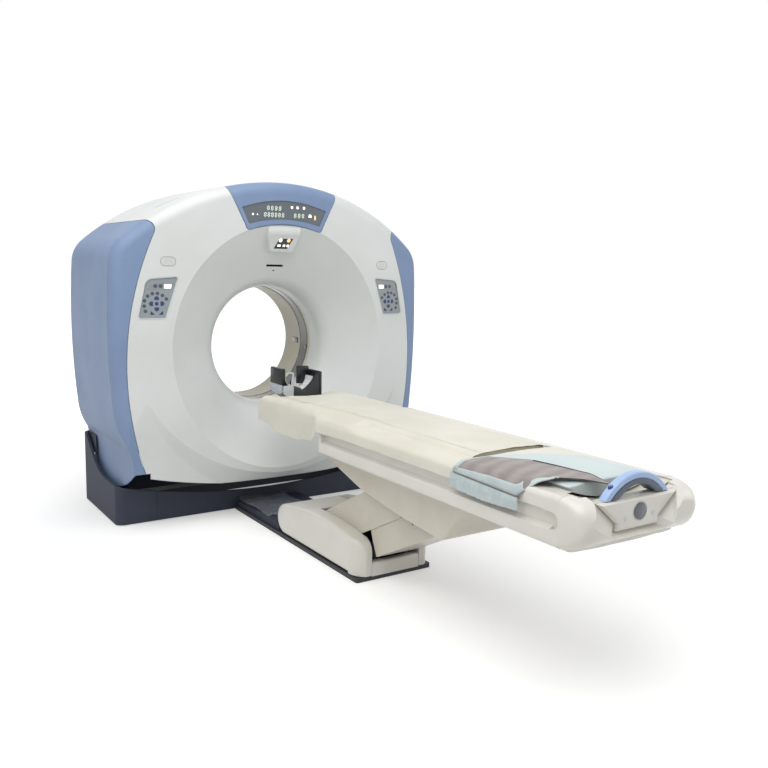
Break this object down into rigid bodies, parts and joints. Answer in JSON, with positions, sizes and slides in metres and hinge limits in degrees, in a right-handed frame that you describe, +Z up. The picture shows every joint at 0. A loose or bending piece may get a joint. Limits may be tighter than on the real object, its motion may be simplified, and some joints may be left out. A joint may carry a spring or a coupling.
{
  "type": "ct scanner",
  "caption": "CT scanner: white and blue tilting gantry with a round tunnel, dark floor base, and a patient table on a leg with a sliding cradle, mattress and head holder.",
  "frame": {"origin": "on the floor under the middle of the tunnel", "axes": "+Z up, +Y through the tunnel away from the patient table, +X to the right of a person who stands at the table and faces the gantry"},
  "size_m": [1.98, 3.573, 1.945],
  "materials": {
    "cover_white": "satin",
    "cover_blue": "satin",
    "base_dark": "matt",
    "keypad_grey": "satin",
    "button_grey": "satin",
    "window_black": "gloss",
    "scan_ring": "gloss",
    "liner_beige": "satin",
    "frame_paint": "satin",
    "cast_metal": "matt",
    "bare_steel": "satin",
    "aluminium": "satin",
    "tube_paint": "gloss",
    "detector_black": "matt",
    "slip_brass": "bright",
    "belt_rubber": "matt",
    "motor_paint": "satin",
    "table_cream": "satin",
    "plate_grey": "satin",
    "cradle_shell": "satin",
    "handle_blue": "satin",
    "button_navy": "satin",
    "vinyl_beige": "satin",
    "foam_blue": "satin",
    "quilt_grey": "matt",
    "holder_black": "satin",
    "pad_white": "matt",
    "lens_clear": "gloss"
  },
  "bodies": {
    "base": {"base_frame": "frame_paint", "base_front_cover": "base_dark", "base_left_cover": "base_dark", "base_right_cover": "base_dark", "base_rear_cover": "base_dark", "tilt_gearmotor": "motor_paint", "floor_plate": "plate_grey", "bridge_cover": "base_dark", "table_right_cover": "table_cream", "table_left_cover": "table_cream", "table_end_cover": "table_cream", "pivot_brackets": "frame_paint"},
    "gantry": {"front_cover": "cover_white", "right_corner_cover": "cover_blue", "left_corner_cover": "cover_blue", "right_side_cover": "cover_blue", "left_side_cover": "cover_blue", "top_cover": "cover_white", "rear_cover": "cover_white", "display_console": "cover_blue", "right_keypad": "keypad_grey", "left_keypad": "keypad_grey", "display_window": "window_black", "indicator_lens": "lens_clear", "scan_window": "scan_ring", "tunnel_liner": "liner_beige", "gantry_frame": "cast_metal", "tilt_sector": "cast_metal", "rotor_motor": "motor_paint", "rotor_belt": "belt_rubber"},
    "rotor": {"rotor_drum": "aluminium", "xray_tube": "tube_paint", "collimator": "aluminium", "detector_array": "detector_black", "generator_tank": "tube_paint", "slip_ring": "slip_brass"},
    "belt_pulley": {"rotor_pulley": "aluminium"},
    "pinion": {"tilt_pinion": "bare_steel"},
    "right_oval": {"right_oval_button": "button_grey"},
    "left_oval": {"left_oval_button": "button_grey"},
    "leg_upper": {"upper_arms": "frame_paint", "upper_leg_cover": "table_cream"},
    "leg_lower": {"lower_arms": "frame_paint", "lower_leg_cover": "table_cream"},
    "table_top": {"table_frame": "frame_paint", "table_hull": "table_cream", "table_body": "table_cream"},
    "lift_barrel": {"lift_cylinder": "motor_paint"},
    "lift_piston": {"lift_rod": "bare_steel"},
    "cradle_carriage": {"cradle": "cradle_shell", "cradle_bracket": "table_cream", "cradle_handle": "handle_blue", "mattress": "vinyl_beige", "foot_pad": "foam_blue", "mattress_cover": "vinyl_beige", "quilted_strap": "quilt_grey", "head_holder": "holder_black", "head_pad": "pad_white"},
    "drive_roller": {"cradle_roller": "aluminium"},
    "handle_press": {"handle_button": "button_navy"}
  },
  "joints": [
    {"name": "gantry_tilt", "type": "hinge", "parent": "base", "child": "gantry", "pos_m": [0, 0, 1], "axis": [-1, 0, 0], "range_deg": [-24, 24]},
    {"name": "rotor_turn", "type": "hinge", "parent": "gantry", "child": "rotor", "pos_m": [0, 0, 1], "axis": [0, 1, 0], "continuous": true},
    {"name": "pulley_turn", "type": "hinge", "parent": "gantry", "child": "belt_pulley", "pos_m": [-0.64, 0, 1.62], "axis": [0, 1, 0], "continuous": true},
    {"name": "pinion_turn", "type": "hinge", "parent": "base", "child": "pinion", "pos_m": [0, 0, 0.78], "axis": [-1, 0, 0], "range_deg": [-250, 250]},
    {"name": "right_oval_press", "type": "slide", "parent": "gantry", "child": "right_oval", "axis": [0, 1, 0], "range_m": [0, 0.003], "stiffness_N_per_m": 400, "springref_m": -0.002},
    {"name": "left_oval_press", "type": "slide", "parent": "gantry", "child": "left_oval", "axis": [0, 1, 0], "range_m": [0, 0.003], "stiffness_N_per_m": 400, "springref_m": -0.002},
    {"name": "table_lift", "type": "hinge", "parent": "base", "child": "leg_upper", "pos_m": [0, -1.33, 0.15], "axis": [-1, 0, 0], "range_deg": [-18.5, 24.3]},
    {"name": "lower_arm_swing", "type": "hinge", "parent": "base", "child": "leg_lower", "pos_m": [0, -1.6, 0.12], "axis": [-1, 0, 0], "range_deg": [-19, 25]},
    {"name": "table_level", "type": "hinge", "parent": "leg_upper", "child": "table_top", "pos_m": [0, -1.99825, 0.49049], "axis": [-1, 0, 0], "range_deg": [-25, 19]},
    {"name": "lift_cylinder_swing", "type": "hinge", "parent": "base", "child": "lift_barrel", "pos_m": [0, -1.46, 0.06], "axis": [-1, 0, 0], "range_deg": [-20, 25]},
    {"name": "lift_rod_slide", "type": "slide", "parent": "lift_barrel", "child": "lift_piston", "axis": [0, -0.3525, 0.9358], "range_m": [-0.06, 0.07]},
    {"name": "cradle_slide", "type": "slide", "parent": "table_top", "child": "cradle_carriage", "axis": [0, 1, 0], "range_m": [0, 1.15]},
    {"name": "roller_turn", "type": "hinge", "parent": "table_top", "child": "drive_roller", "pos_m": [0, -1.44, 0.668], "axis": [-1, 0, 0], "range_deg": [-10, 3320]},
    {"name": "handle_button_press", "type": "slide", "parent": "cradle_carriage", "child": "handle_press", "axis": [0, 0, -1], "range_m": [0, 0.003], "stiffness_N_per_m": 400, "springref_m": -0.002}
  ],
  "couplings": [
    {"joint": "pulley_turn", "follows": "rotor_turn", "ratio": 12.25},
    {"joint": "pinion_turn", "follows": "gantry_tilt", "ratio": -10},
    {"joint": "lower_arm_swing", "follows": "table_lift", "ratio": 1},
    {"joint": "table_level", "follows": "table_lift", "ratio": -1},
    {"joint": "lift_cylinder_swing", "follows": "table_lift", "ratio": 0.856},
    {"joint": "lift_rod_slide", "follows": "table_lift", "m_per_rad": 0.149},
    {"joint": "roller_turn", "follows": "cradle_slide", "rad_per_m": 50}
  ]
}
